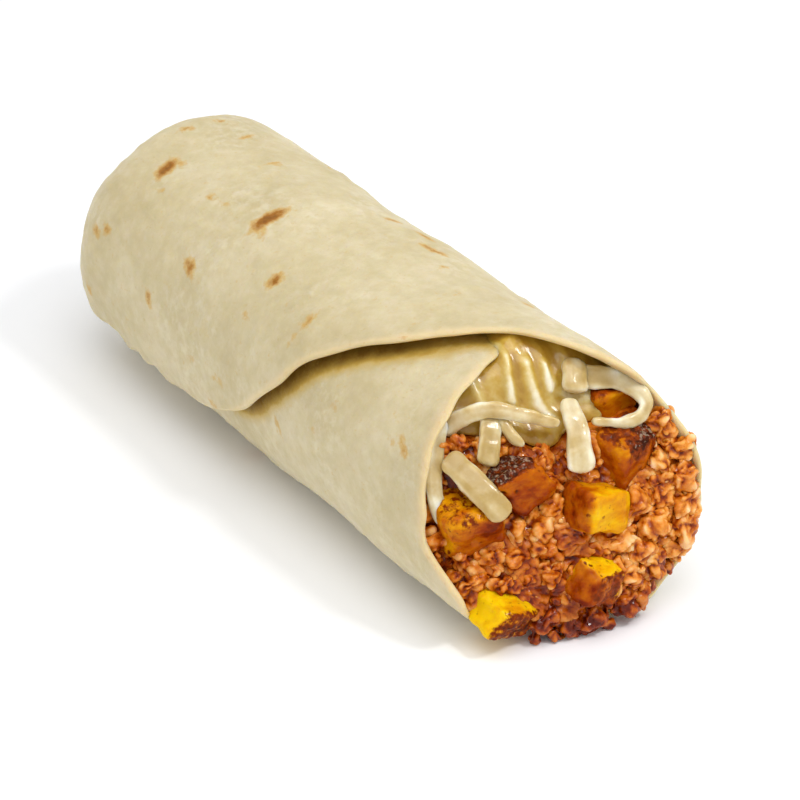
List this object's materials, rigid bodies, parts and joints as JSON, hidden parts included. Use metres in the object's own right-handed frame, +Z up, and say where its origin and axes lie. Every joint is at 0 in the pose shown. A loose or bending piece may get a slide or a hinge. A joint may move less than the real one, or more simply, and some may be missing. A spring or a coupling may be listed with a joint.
{
  "type": "burrito",
  "caption": "Burrito lying on its side: a flour tortilla rolled round ground beef, fried sweet plantain and melted white cheese, open at one end.",
  "frame": {"origin": "on the surface that the burrito lies on, under the middle of its box", "axes": "+X along the roll to its open end, +Y to the side away from the flap, +Z up"},
  "size_m": [0.1618, 0.0578, 0.0531],
  "materials": {
    "tortilla": "matte, floury, with small toasted spots",
    "beef": "moist, with a thin glossy sauce",
    "cheese": "soft sheen, slightly see-through",
    "plantain": "oily sheen, browned edges"
  },
  "bodies": {
    "root": {"tortilla": "tortilla", "ground_beef": "beef", "cheese_melt": "cheese", "cheese_bar": "cheese", "cheese_rim": "cheese", "cheese_arch": "cheese", "cheese_drop": "cheese", "cheese_short": "cheese", "cheese_hang": "cheese", "cheese_block": "cheese", "cheese_curl": "cheese", "plantain_left": "plantain", "plantain_bottom": "plantain", "plantain_charred": "plantain", "plantain_middle": "plantain", "plantain_right": "plantain", "plantain_low": "plantain", "plantain_tucked": "plantain"}
  },
  "joints": []
}
